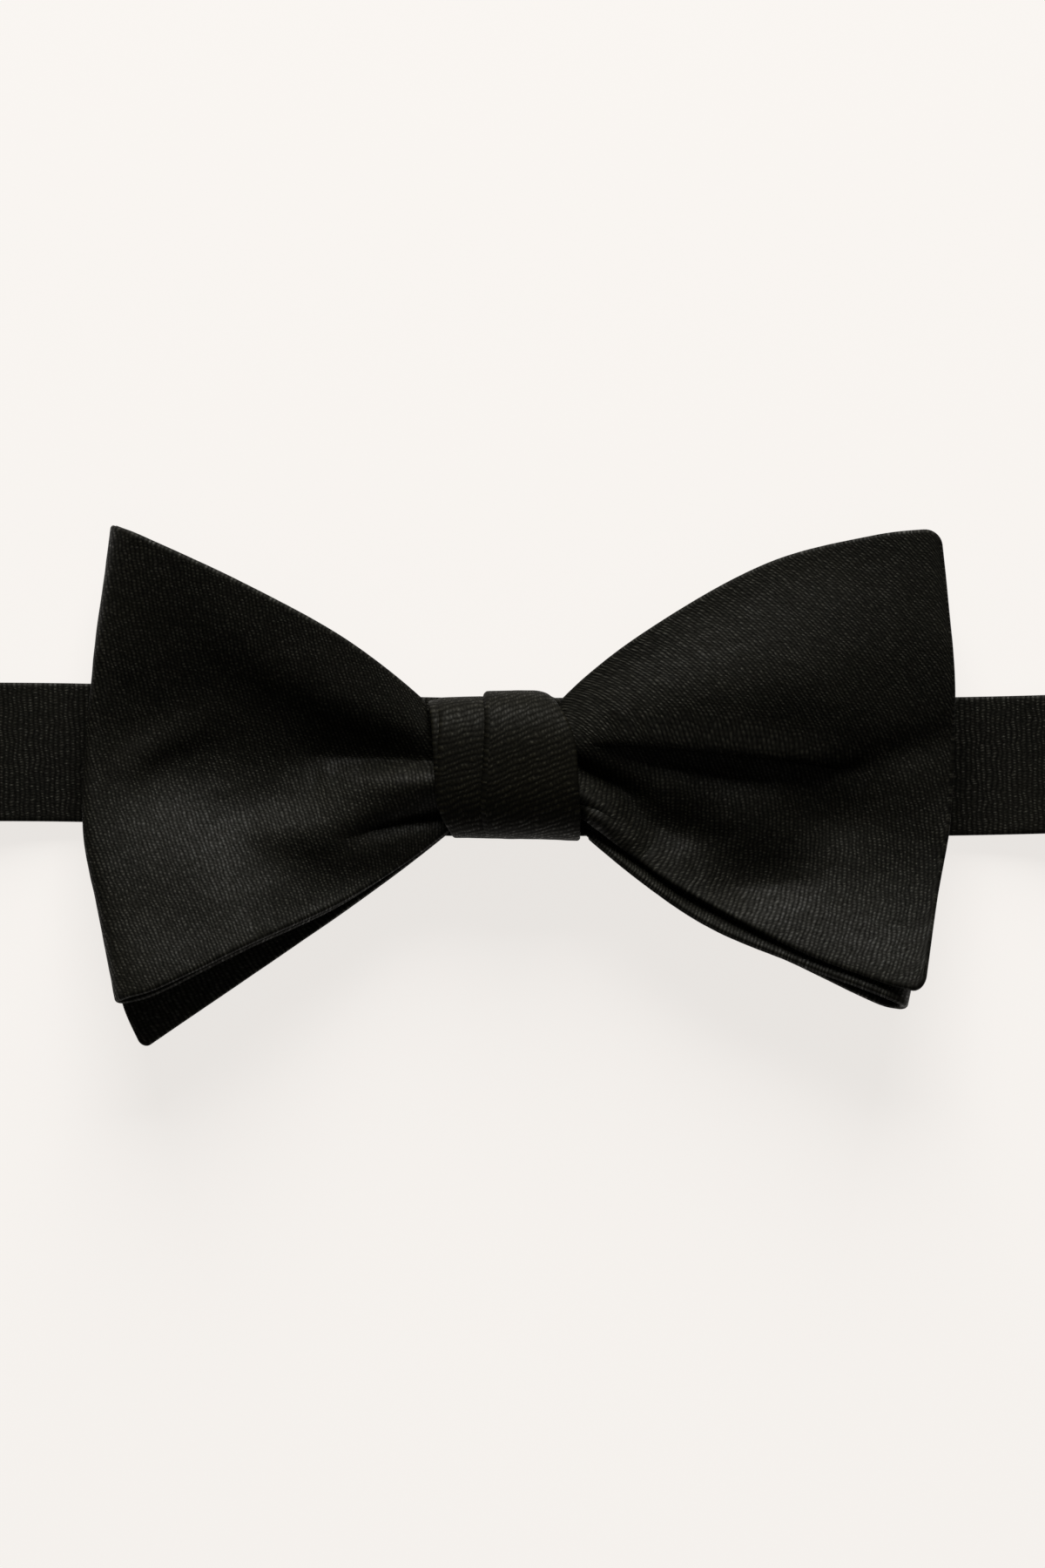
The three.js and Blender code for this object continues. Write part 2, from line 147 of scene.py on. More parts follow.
FINE = 1e-3  # step used to find a surface's slopes, in places along it and in shares of its width
# Slight unevenness of pressed cloth: waves for each mm, and how high the finer ones are beside the broad.
BROAD_WAVES, FINE_WAVES, FINE_SHARE = 0.16, 0.55, 0.4


def cloth_wall(middle, place, spread, ends, profile, end_turn, relief):
    """Points, in mm, of the wall of two plies round a middle surface, and the points of that surface."""
    v, facing, turn = profile
    first, last = ends
    spot = middle(place, spread)
    along = (middle(np.minimum(place + FINE, last), spread)
             - middle(np.maximum(place - FINE, first), spread))
    width = middle(place, spread + FINE) - middle(place, spread - FINE)
    normal = np.cross(along, width)
    normal /= np.linalg.norm(normal, axis=-1, keepdims=True)
    steps = np.arange(len(place))
    outward = across(normal, along, -np.sign(v)[None, :, None])
    endward = across(normal, width, np.sign(steps - steps[-1] / 2)[:, None, None])
    outward = np.where((np.abs(v) >= 1)[None, :, None], outward, endward)
    angle = np.maximum(turn[None, :], end_turn[:, None])
    seam = 1 - SEAM_DEPTH / HALF_CLOTH * np.exp(-(((angle - QUARTER) / SEAM_WIDTH) ** 2))
    wall = spot + normal * (facing * np.cos(angle) * HALF_CLOTH)[..., None]
    wall += outward * (np.sin(angle) * seam * HALF_CLOTH)[..., None]
    if relief:
        ripple = [noise.noise(point * BROAD_WAVES) + FINE_SHARE * noise.noise(point * FINE_WAVES)
                  for point in map(Vector, spot.reshape(-1, 3))]
        wall += normal * (np.reshape(ripple, place.shape) * relief)[..., None]
    return wall, spot


def length_along(points):
    """Length of the lines that run along a strip, from the middle of each."""
    run = np.linalg.norm(np.diff(points, axis=0), axis=-1)
    run = np.concatenate([np.zeros((1, points.shape[1])), np.cumsum(run, axis=0)])
    return run - run[(len(run) - 1) // 2]


WELD = 0.0002  # points that are closer than this become one, where the wall closes


def cloth_strip(name, middle, half_width, places, flat, joined, relief=0.0, shear=None, unfolded=None):
    """A strip of two plies as one closed mesh around its middle surface.

    middle(place, v) gives points of the middle surface in mm, half_width(place) half its width, places
    the steps along it and flat those across, from -1 to 1. A joined strip is a closed loop; the others
    end in turned edges. relief is how uneven it is. The UV map "cloth" holds the true length along the
    strip and across it, in metres, taken without the folds where unfolded(place, v) gives the strip
    before they are pressed in, and slanted by shear(v).
    """
    profile = edge_profile(flat)
    v = profile[0]
    if joined:  # its slopes are taken past both ends, which meet
        ends = places[0] - FINE, places[-1] + FINE
        end_turn = np.zeros(len(places))
    else:
        ends = places[0], places[-1]
        places, end_turn = turned_ends(places)
    place = places[:, None] + 0 * v[None, :]
    wide = half_width(place)
    spread = v[None, :] * (1 - HALF_CLOTH / wide)
    wall, spot = cloth_wall(middle, place, spread, ends, profile, end_turn, relief)
    over = v[None, :] * wide
    run = length_along(spot if unfolded is None else unfolded(place, spread))
    if shear is not None:
        run = run + shear(v)[None, :] * over

    strip = bmesh.new()
    uv = strip.loops.layers.uv.new("cloth")
    bmesh.ops.create_grid(strip, x_segments=len(places) - 1, y_segments=len(v) - 1, size=1)
    strip.verts.ensure_lookup_table()
    corner = (np.array([vert.co[:2] for vert in strip.verts]) + 1) / 2
    i = np.rint(corner[:, 0] * (len(places) - 1)).astype(int)
    k = np.rint(corner[:, 1] * (len(v) - 1)).astype(int)
    for vert, point in zip(strip.verts, wall[i, k] * MM):
        vert.co = point
    cloth_uv = np.stack([run, over], -1)[i, k] * MM
    for face in strip.faces:
        for loop in face.loops:
            loop[uv].uv = cloth_uv[loop.vert.index]
    bmesh.ops.remove_doubles(strip, verts=strip.verts, dist=WELD * MM)
    bmesh.ops.recalc_face_normals(strip, faces=strip.faces)
    bmesh.ops.translate(strip, verts=strip.verts, vec=SHIFT)
    mesh = bpy.data.meshes.new(name)
    strip.to_mesh(mesh)
    strip.free()
    mesh.polygons.foreach_set("use_smooth", np.ones(len(mesh.polygons), bool))
    piece = bpy.data.objects.new(name, mesh)
    bpy.context.scene.collection.objects.link(piece)
    return piece


class Yarn:
    """A socket of a cloth material. Arithmetic on it adds the Math nodes."""

    def __init__(self, tree, socket):
        self.tree = tree
        self.socket = socket

    def maths(self, operation, *others, swap=False):
        node = self.tree.nodes.new("ShaderNodeMath")
        node.operation = operation
        terms = (*others, self) if swap else (self, *others)
        for socket, term in zip(node.inputs, terms):
            if isinstance(term, Yarn):
                self.tree.links.new(term.socket, socket)
            else:
                socket.default_value = term
        return Yarn(self.tree, node.outputs[0])

    def __add__(self, other):
        return self.maths("ADD", other)

    __radd__ = __add__

    def __sub__(self, other):
        return self.maths("SUBTRACT", other)

    def __rsub__(self, other):
        return self.maths("SUBTRACT", other, swap=True)

    def __mul__(self, other):
        return self.maths("MULTIPLY", other)

    __rmul__ = __mul__

    def __truediv__(self, other):
        return self.maths("DIVIDE", other)

    def wave(self):
        """A wave that is 0 at whole numbers and 1 half way between them."""
        return 0.5 - (self * (2 * math.pi)).maths("COSINE") * 0.5

    def limited(self):
        """The value kept between 0 and 1."""
        return self.maths("MAXIMUM", 0.0).maths("MINIMUM", 1.0)


class Finish:
    """A node material: its surface shader, and one method that adds any other node."""

    def __init__(self, name, **constants):
        self.material = bpy.data.materials.new(name)
        self.material.use_nodes = True
        self.tree = self.material.node_tree
        self.surface = self.tree.nodes["Principled BSDF"]
        for socket, value in constants.items():
            self.surface.inputs[socket.replace("_", " ")].default_value = value

    def node(self, kind, settings=None, inputs=None, output=0):
        node = self.tree.nodes.new(kind)
        for setting, value in (settings or {}).items():
            setattr(node, setting, value)
        for socket, value in (inputs or {}).items():
            if isinstance(value, Yarn):
                self.tree.links.new(value.socket, node.inputs[socket])
            else:
                node.inputs[socket].default_value = value
        return Yarn(self.tree, node.outputs[output])

    def feed(self, socket, yarn):
        self.tree.links.new(yarn.socket, self.surface.inputs[socket])


# What the satins have in common.
SATIN_BLACK = (0.0004, 0.0004, 0.0003)
SATIN_SHINE, SATIN_SHINE_TINT, GLINT_ROUGHNESS = 0.085, (1, 0.96, 0.8, 1), 0.5
WANDER_WAVES, SPECK_WAVES, CLOUD_WAVES = 420.0, 2600.0, 90.0  # for each metre
LINE_WANDER, GRAIN_WANDER = 1.5, 2.2  # how far the lines stray, and the grains along them
LINE_SHARE = 0.35  # how much of its height a line keeps between two grains
LEAST_GRAIN, GRAIN_LUCK = 0.4, 1.2  # height of the lowest grains, and what luck adds to it
SPECK_SHARE, WEAVE_DEPTH = 0.6, 0.22  # height of the specks, and how deep the threads lie between
TINT_BY_WEAVE, TINT_BY_CLOUDS, TINT_FROM = 0.95, 0.4, 0.19
ROUGH_BY_WEAVE, ROUGH_BY_CLOUDS = 0.26, 0.1


def satin(name, line, lean, thread, stagger, dark, light, relief, gloss, glint):
    """Black silk satin. line is the pitch of its weave lines and thread that of the grains along them,
    in mm; lean slants the lines, stagger sets each line's grains on from the last one's, and dark and
    light are the colours between the grains and on them. relief is the height of the grains in mm, gloss
    how rough their tops are, and glint their extra shine."""
    cloth = Finish(name, Specular_IOR_Level=SATIN_SHINE, Specular_Tint=SATIN_SHINE_TINT,
                   Coat_Roughness=GLINT_ROUGHNESS)
    uv = cloth.node("ShaderNodeUVMap", {"uv_map": "cloth"})

    def noise_of(waves, detail):
        return cloth.node("ShaderNodeTexNoise", inputs={"Vector": uv, "Scale": waves, "Detail": detail})

    u, v = (cloth.node("ShaderNodeSeparateXYZ", inputs={"Vector": uv}, output=axis) / (line * MM)
            for axis in (0, 1))
    wander = noise_of(WANDER_WAVES, 2.0)
    across_lines = u + v * lean + wander * LINE_WANDER
    number = across_lines.maths("FLOOR")
    ridge = across_lines.wave()
    along_line = v * (line / thread) + number * stagger + wander * GRAIN_WANDER
    grain = along_line.wave()
    cell = cloth.node("ShaderNodeCombineXYZ", inputs={"X": number, "Y": along_line.maths("FLOOR")})
    luck = cloth.node("ShaderNodeTexWhiteNoise", {"noise_dimensions": "2D"}, {"Vector": cell})
    height = ridge * (LINE_SHARE + grain * (1 - LINE_SHARE)) * (LEAST_GRAIN + luck * luck * GRAIN_LUCK)
    weave = height + noise_of(SPECK_WAVES, 1.0) * SPECK_SHARE - WEAVE_DEPTH
    clouds = noise_of(CLOUD_WAVES, 4.0)
    tint = (weave * TINT_BY_WEAVE + clouds * TINT_BY_CLOUDS - TINT_FROM).limited()
    both = {"Factor": tint, 6: (*dark, 1), 7: (*light, 1)}
    cloth.feed("Base Color", cloth.node("ShaderNodeMix", {"data_type": "RGBA"}, both, output=2))
    cloth.feed("Roughness", gloss + (1 - weave) * ROUGH_BY_WEAVE + clouds * ROUGH_BY_CLOUDS)
    cloth.feed("Coat Weight", (weave * glint).limited())
    bump = cloth.node("ShaderNodeBump", inputs={"Strength": 1.0, "Distance": relief * MM, "Height": weave})
    cloth.feed("Normal", bump)
    return cloth.material


side = loop_side(BAND_SIDE)


def band_middle(place, v):
    """The band's middle surface. place counts the mesh steps round the loop from inside the knot."""
    at = side["around"] * (1 + place / BAND_ALONG)
    x = column(side, "x", at)
    z = np.maximum(column(side, "z", at), HALF_CLOTH)
    opened = smoothstep(np.abs(x), KNOT_REACH, KNOT_REACH + KNOT_SPREAD)
    squeeze = smoothstep(z, *BETWEEN_RUNS) * (1 - opened)
    width = BAND_WIDTH + (BAND_IN_KNOT - BAND_WIDTH) * squeeze
    y = column(BAND_MIDDLE, "y", x) + v * width / 2
    return np.stack([x, y, z + BAND_CUP * squeeze * v * v], -1)


def band_half(place):
    """Half the band's own width, which the squeeze in the knot doesn't change."""
    return np.full_like(place, BAND_WIDTH / 2)


neck_band = cloth_strip(
    "neck_band_satin", band_middle, band_half, np.arange(BAND_ALONG + 1.0),
    np.linspace(-1, 1, BAND_ACROSS + 1), joined=True)
BAND_SATIN = satin(
    "band satin", line=0.7, lean=0.02, thread=0.4, stagger=0.35, dark=SATIN_BLACK,
    light=(0.0145, 0.0136, 0.0092), relief=0.08, gloss=0.42, glint=0.24)
neck_band.data.materials.append(BAND_SATIN)
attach(neck_band, "root")
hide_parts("neck_band")

# Back bow
# The second end of the strip, folded behind the front bow: its loop lies on the right and its free
# blade, with sewn and rounded corners, on the left. Both lie flat on the neck band.

BACK_CORNER = 1.5  # radius of the corners at the blade's free end
ROOT_CORNER = 1.2  # radius of the corners at a strip's other end, inside the knot
CURL_FROM = -0.72  # a strip's lower edge curls up beyond this place of its width
CURL_POWER = 1.5

# Sections of a folded strip, by their places "at" along it. xb and yb are a section's lower end, xt and
# yt its upper end, z its height. cup lifts both ends over the place mid of its width, from -1 to 1, curl
# lifts the lower edge alone, out pushes the middle away from the knot, and fold is the section's share
# of the folds below.
STRIP_COLUMNS = "at xb yb xt yt z cup mid curl out fold"
BACK_STRIP = table(STRIP_COLUMNS, [
    (0, 4.8, -3.2, 4.2, 8.4, 5.3, 0.2, 0, 0, 0, 0.1),
    (2, 10, -6.8, 9.4, 12, 5.1, 0.4, 0.4, 0, 0, 0.1),
    (6, 24, -17.9, 24, 22.6, 4.5, 1.2, 0.4, 0.6, 0, 0.2),
    (10, 38.5, -24.9, 38, 29.6, 4.4, 2, 0.4, 0.8, 0.5, 0.2),
    (13, 48.2, -29.6, 51, 32.4, 4.2, 2.4, 0.4, 0.8, 2.6, 0.1),
    (15, 51.2, -30.4, 54.4, 33.2, 4.7, 2.6, 0.4, 0.9, 3.9, 0.05),
    (16, 51.9, -30.2, 55.2, 33.3, 5.8, 2.7, 0.4, 1.1, 4.3, 0.05),
    (17, 51.2, -29.6, 54.2, 33.1, 6.8, 3, 0.4, 1.8, 3.9, 0.1),
    (19, 47.4, -28, 50.2, 32, 7.2, 2.9, 0.4, 1.9, 2.6, 0.3),
    (22, 38.2, -24.6, 38, 29.2, 7.4, 2.3, 0.4, 1.7, 0.6, 0.54),
    (26, 24.1, -18.4, 24, 22.4, 7.4, 2.4, 0.4, 1.4, 0, 0.52),
    (30, 9.9, -7.7, 8.4, 12, 7.1, 2, 0.4, 0.6, 0, 0.2),
    (31, 7.9, -4.8, 5.8, 9.4, 7, 0, 0, 0, 0, 0.15),
    (34, 0, -4.2, -1.4, 9, 6.9, 0, 0, 0, 0, 0.1),
    (37, -8.3, -4.9, -12.2, 9.1, 6.7, 0, 0, 0, 0, 0.15),
    (38, -10.3, -7.2, -13.4, 11, 6.4, 0.2, 0.4, 0, 0, 0.2),
    (42, -23.1, -16.8, -24, 18.2, 4.8, 0.9, 0.4, 0.4, 0, 0.25),
    (46, -37.3, -26.6, -38, 25.4, 4.3, 3.8, 0.5, -3, -0.8, 0.22),
    (49, -46.6, -33, -49, 30, 4.2, 4.4, 0.5, -4.4, -2.6, 0.15),
    (52, -50.9, -36, -53.5, 31.8, 4.1, 4.5, 0.5, -4.8, -4.2, 0.1),
])
BACK_WAIST = 34  # the place where the strip crosses the middle, between its loop and its blade

# How much of "out" each place across a section gets, from the lower end (-1) to the upper (1): for the
# right wing of both bows, and for the back bow's blade.
BLADE_EDGE = table("at share", [(-1, 0), (-0.6, 0.5), (-0.25, 1), (0.3, 0.95), (0.7, 0.45), (1, 0)])
BACK_BLADE_EDGE = table("at share", [(-1, 0), (-0.8, 0.62), (-0.4, 0.95), (0.1, 1), (1, 0)])

# Folds pressed into the bow. Each runs from (x0, y0), drawn towards (x1, y1), to (x2, y2), with a height
# drawn in the same way, valleys negative. w0 and w2 are half its width at the ends, up widens its upper
# side, power sharpens it (2 is round, 1.5 a crease, 3 a trough with a flat bottom), and lip is how far
# its upper side leans over it.
FOLDS = table("x0 y0 x1 y1 x2 y2 h0 h1 h2 w0 w2 up power lip", [
    # Left wing: the valley, crisp by the knot and broad further out, the crest below it, the short crease
    # under that, the fall to the lower edge and the rise to the outer lower corner.
    (-4, 3.2, -18, 2.4, -32, 4.8, -1, -3.6, 0, 1.2, 3.8, 1.2, 1.6, 0),
    (-13, 3.6, -34, -1, -58, 6, 0, -8, -3.2, 3.6, 14, 1, 2, 0),
    (-3, 0, -16, 1.3, -27, 0, 0.6, 2.8, 0, 1.7, 3.2, 0.9, 2, 0),
    (-3, -3.2, -15, -4, -25, -8, -0.8, -4, 0, 1.2, 2.2, 0.8, 1.6, 0),
    (-10, -8, -20, -13, -36, -20, -1.4, -6.4, 0, 3.8, 6.5, 1.2, 2, 0),
    (-30, -22, -42, -25, -55, -29, 0, 1.1, 2.5, 4, 9, 1, 2, 0),
    # Left wing: a hooked dent in two strokes, a shallow fold that rises towards the top corner, and a
    # short ridge drawn up from the outer bend.
    (-25, -3, -38, -2, -39, -5.4, 0, -1.2, -0.4, 2.4, 3.4, 1, 2, 0),
    (-38.6, -7.6, -36, -11.8, -22, -9.6, -0.4, -2.2, 0, 5.2, 3.6, 0.8, 2, 0),
    (-12, 4.6, -30, 7, -47, 19, 0, -2.2, -0.4, 3, 7, 0.6, 2, 0),
    (-54, 0.6, -50, 6.6, -41, 8.4, 0, 1.7, 0.2, 1.8, 2.4, 1.2, 2, 0),
    # Right wing: the domed upper lobe, the step under it where the blade is pushed in, and its soft end.
    (3, 3, 22, 13, 54, 18, 0.4, 6, 2.2, 3, 13, 1.1, 2, 0),
    (10, 5, 26, 7.2, 43.5, 2, 0, -4.8, -0.9, 2.2, 8.6, 0.14, 2.6, 2.2),
    (38, 1.8, 50, 3.4, 59, 7.4, 0, -1.4, -0.6, 2, 3.4, 0.8, 2, 0),
    # Right wing: the valley below the step, its two hollows, a round dent and the rise to the lower
    # outer corner.
    (13, -3, 33, -20, 56, -5, 0, -5.4, -1.6, 5, 13.5, 0.95, 2, 0),
    (13, -1.5, 20, -8.6, 27, -5, -0.4, -3.6, 0, 2.4, 3.4, 1.4, 2, 0),
    (35, -2, 41, -7, 50, -3, 0, -2, 0, 3.2, 4.4, 1.2, 2, 0),
    (25.5, -12.4, 31.5, -15.2, 38.5, -12, -0.6, -2.8, -0.6, 3, 3, 1.6, 2, 0),
    (36, -20, 46, -25, 55, -29, 0, 0.6, 1.4, 3, 8, 1, 2, 0),
    # Right wing: a small pleat drawn down from the knot, with a hollow above it and a crease in it.
    (5, 0.6, 10, -3.4, 17, -9, 1.6, 4.4, 0, 1.6, 2.4, 0.9, 1.8, 0),
    (7, 3, 13, 0.8, 16.4, -2.4, -0.6, -3.4, 0, 1, 1.8, 1, 2, 0),
    (6, -1.6, 11, -3, 14.6, -7, -0.4, -1.4, 0, 0.6, 0.7, 1, 2, 0),
])
FOLD_STEPS = 14  # straight pieces that a fold's curve is measured by
FOLD_BLEND = 0.7  # pieces that are this much further away still count
MIDWAY = 0.5  # half way along, a fold drawn from 0 over h1 to 0 has reached this share of h1
LIP_WIDTH = 1.9  # a lip leans out most at this distance from the fold's line
LIP_POWER = 3  # layers that take a small share of the folds take hardly any lip
TINY = 1e-9  # stops a division by nothing on the fold's own line


def drawn(a, b, c, s):
    """Value at s, from 0 to 1, of a curve from a, drawn towards b, to c."""
    return (1 - s) ** 2 * a + 2 * s * (1 - s) * b + s * s * c


def fold_shape(folds, x, y):
    """Height that the folds add at points of the bow seen from the front, and how far they push them."""
    height = np.zeros_like(x)
    push_x = np.zeros_like(x)
    push_y = np.zeros_like(x)
    s = np.linspace(0, 1, FOLD_STEPS + 1)
    for row in range(len(folds["x0"])):
        fold = {name: values[row] for name, values in folds.items()}
        px = drawn(fold["x0"], fold["x1"], fold["x2"], s)
        py = drawn(fold["y0"], fold["y1"], fold["y2"], s)
        away, along, off_x, off_y = [], [], [], []
        for k in range(FOLD_STEPS):
            dx, dy = px[k + 1] - px[k], py[k + 1] - py[k]
            t = np.clip(((x - px[k]) * dx + (y - py[k]) * dy) / (dx * dx + dy * dy), 0, 1)
            off_x.append(x - px[k] - t * dx)
            off_y.append(y - py[k] - t * dy)
            away.append(np.hypot(off_x[k], off_y[k]))
            along.append((k + t) / FOLD_STEPS)
        away = np.array(away)
        nearest = away.min(0)
        near = np.exp((nearest - away) / FOLD_BLEND)
        near /= near.sum(0)
        along, off_x, off_y = (np.sum(near * np.array(part), 0) for part in (along, off_x, off_y))
        off = np.hypot(off_x, off_y) + TINY
        above = (off_y / off + 1) / 2
        width = (fold["w0"] + (fold["w2"] - fold["w0"]) * along) * (1 + (fold["up"] - 1) * above)
        strength = drawn(fold["h0"], fold["h1"], fold["h2"], along)
        height += strength * np.exp(-((nearest / width) ** fold["power"]))
        if fold["lip"]:
            lean = (nearest / LIP_WIDTH) ** 2
            lean = fold["lip"] * lean * np.exp(1 - lean) * above * strength / (fold["h1"] * MIDWAY)
            push_x -= lean * off_x / off
            push_y -= lean * off_y / off
    return height, push_x, push_y


CORNER_STEPS = 10


def strip_middle(rows, waist, loop_edge, blade_edge, corner):
    """Middle surface, half width and end places of a folded strip with rounded ends."""
    last = rows["at"][-1]

    def half(place):
        """Half the width of the strip at a place along it."""
        return np.hypot(column(rows, "xt", place) - column(rows, "xb", place),
                        column(rows, "yt", place) - column(rows, "yb", place)) / 2

    def flat(place, v):
        """x and y of a point of the strip before its folds are pressed in."""
        share = (v + 1) / 2
        x = column(rows, "xb", place) * (1 - share) + column(rows, "xt", place) * share
        y = column(rows, "yb", place) * (1 - share) + column(rows, "yt", place) * share
        edge = np.where(place > waist, column(blade_edge, "share", v), column(loop_edge, "share", v))
        return x + column(rows, "out", place) * edge, y

    def pace(place, step):
        """Length of the strip's middle line from one place to the next, near an end."""
        (x0, y0), (x1, y1) = (flat(np.array(at), np.array(0.0)) for at in (place, place + step))
        return np.hypot(x1 - x0, y1 - y0) / abs(step)

    # The turned ends add half a thickness of cloth, so the middle surface stops short by as much.
    root_pace, tip_pace = pace(0.0, 0.5), pace(last, -0.5)
    root, tip = HALF_CLOTH / root_pace, last - HALF_CLOTH / tip_pace
    root_corner, tip_corner = ROOT_CORNER - HALF_CLOTH, corner - HALF_CLOTH

    def inset(left, radius):
        """How far a rounded corner draws the edge in, with so much left to the strip's end."""
        return radius - np.sqrt(radius ** 2 - np.clip(radius - left, 0, radius) ** 2)

    def middle(place, v):
        """Points of the middle surface, folds and all."""
        drawn_in = (inset((place - root) * root_pace, root_corner)
                    + inset((tip - place) * tip_pace, tip_corner))
        v = v * (1 - drawn_in / half(place))
        x, y = flat(place, v)
        share = column(rows, "fold", place)
        lip = share ** LIP_POWER
        height, push_x, push_y = fold_shape(FOLDS, x, y)
        z = column(rows, "z", place) + column(rows, "cup", place) * (v - column(rows, "mid", place)) ** 2
        rolled = np.maximum((CURL_FROM - v) / (1 + CURL_FROM), 0) ** CURL_POWER
        z = z + column(rows, "curl", place) * rolled
        return np.stack([x + push_x * lip, y + push_y * lip, z + height * share], -1)

    def unfolded(place, v):
        """The same points of the strip while it still lies flat."""
        return np.stack([*flat(place, v), column(rows, "z", place) + 0 * v], -1)

    def places(steps):
        """Places along the strip, closer together where its corners are rounded."""
        turn = np.linspace(0, QUARTER, CORNER_STEPS + 1)
        first = root + root_corner / root_pace * (1 - np.cos(turn))
        final = tip - tip_corner / tip_pace * (1 - np.cos(turn[::-1]))
        return np.concatenate([first[:-1], np.linspace(first[-1], final[0], steps), final[1:]])

    return middle, half, places, unfolded


BACK_STEPS, BACK_ACROSS = 250, 84  # mesh steps along and across
back_middle, back_half, back_places, back_unfolded = strip_middle(
    BACK_STRIP, BACK_WAIST, BLADE_EDGE, BACK_BLADE_EDGE, BACK_CORNER)
back_bow = cloth_strip(
    "back_bow_satin", back_middle, back_half, back_places(BACK_STEPS),
    np.linspace(-1, 1, BACK_ACROSS + 1), joined=False, relief=0.08, unfolded=back_unfolded)
BOW_SATIN = satin(
    "bow satin", line=0.56, lean=0.3, thread=0.44, stagger=0.3, dark=SATIN_BLACK,
    light=(0.0155, 0.0146, 0.0098), relief=0.075, gloss=0.4, glint=0.25)
back_bow.data.materials.append(BOW_SATIN)
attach(back_bow, "root")
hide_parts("back_bow")

# Front bow
# The first end of the strip, folded into the bow that shows: a full loop on the left, whose outer
# bend is soft and whose top corner is drawn out, and a free blade on the right with turned corners.

FRONT_STRIP = table(STRIP_COLUMNS, [
    (0, -6.2, -3.6, -7.2, 8.4, 8.4, 0, 0, 0, 0, 0.15),
    (1, -8, -4.6, -12.2, 9.2, 8.2, 0, 0, 0, 0, 0.2),
    (2, -9.8, -6.2, -13.4, 11.2, 8, 0.2, 0.4, 0, 0, 0.22),
    (6, -23.5, -16, -24, 18.9, 6.4, 0.8, 0.4, 0.6, 0, 0.28),
    (10, -37, -22.4, -38.5, 26.6, 5.9, 3.6, 0.4, 1, -0.6, 0.25),
    (14, -48.6, -28.2, -51, 32.9, 5.9, 4, 0.4, 0.8, -2.8, 0.2),
    (17, -52.8, -29.5, -53.8, 34.6, 6.6, 3.4, 0.4, 0.4, -4, 0.1),
    (19, -53.9, -29.4, -54.7, 35.1, 8, 3.2, 0.35, 0, -4.4, 0.1),
    (21, -52.9, -28.9, -53.9, 34.8, 9.8, 3, 0.25, 0, -4.2, 0.4),
    (24, -48.5, -27.5, -50.5, 33.4, 10.9, 3, 0.12, 0, -2.8, 0.9),
    (29, -36.6, -21.8, -38, 27.6, 11.9, 2.4, 0.1, 0, -0.6, 1),
    (34, -23, -15.5, -24, 20, 12.6, 1, 0, 0, 0, 1),
    (39, -10.2, -6.9, -13.4, 11.7, 12.6, -0.6, 0, 0, 0, 1),
    (40, -8.8, -4.7, -12.4, 9.5, 12.4, -1.2, 0, 0, 0, 1),
    (43, 0, -3.6, -2.4, 8.8, 12.7, -0.9, 0, 0, 0, 1),
    (46, 7.4, -4.3, 4.9, 8.6, 12.4, -1.4, 0, 0, 0, 1),
    (47, 9.2, -5, 6, 11.7, 12.3, -0.9, 0, 0, 0, 1),
    (52, 20.6, -13.5, 17, 20.6, 12.9, 1, 0.2, 0, 0, 1),
    (58, 35.7, -21.6, 33.5, 29.9, 12.7, 1.2, 0.25, 0, 0.5, 1),
    (63, 48.3, -26.6, 48, 33.7, 11.7, 2, 0.25, 0, 2, 1),
    (67, 54.5, -28.2, 57, 34.7, 10.8, 2.6, 0.25, 0, 3, 0.9),
])
LOOP_EDGE = table("at share", [(-1, 0), (-0.6, 0.55), (-0.26, 1), (0.35, 0.68), (1, 0)])
FRONT_WAIST = 43
FRONT_CORNER = 2.4

FRONT_STEPS, FRONT_ACROSS = 310, 116
front_middle, front_half, front_places, front_unfolded = strip_middle(
    FRONT_STRIP, FRONT_WAIST, LOOP_EDGE, BLADE_EDGE, FRONT_CORNER)
front_bow = cloth_strip(
    "front_bow_satin", front_middle, front_half, front_places(FRONT_STEPS),
    np.linspace(-1, 1, FRONT_ACROSS + 1), joined=False, relief=0.11, unfolded=front_unfolded)
front_bow.data.materials.append(BOW_SATIN)
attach(front_bow, "root")
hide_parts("front_bow")

# Centre knot
# The narrow strap wrapped once round both waists and the band, turned under behind the bow. Its
# right part lies over the left one in a pleat, and the edge of its under layer shows on the left.

STRAP_WIDTH = 19.0
KNOT_CENTRE_Y, KNOT_CENTRE_Z = 2.4, 8.9
KNOT_HALF_HEIGHT, KNOT_HALF_DEPTH = 9.1, 6.9
KNOT_FRONT_POWER, KNOT_BACK_POWER = 2.7, 4.6  # roundness of its outline seen from the side
# The two side edges, from the knot's lower edge (-1) over the front to its upper edge (1), the straight
# ones behind, and where one passes into the other: -1 is the middle of the back, 0 the top and bottom.
KNOT_SIDES = table("at left right", [
    (-1, -8.9, 8.4), (-0.56, -10.7, 8.4), (0.16, -11.7, 7.8), (0.6, -12, 6.4), (1, -12.4, 4.6),
])
KNOT_BACK_LEFT, KNOT_BACK_RIGHT = -8.6, 8.2
KNOT_TURNS = -0.9, -0.3
# How much lower its top and bottom edges lie across its width, from left (0) to right (1).
KNOT_DROP = table("at top bottom", [
    (0, 0.4, 0), (0.4, 0.1, 0.1), (0.8, 0, 0.2), (0.92, 0.3, 0.3), (1, 1.2, 0.4),
])
DROP_POWER = 3
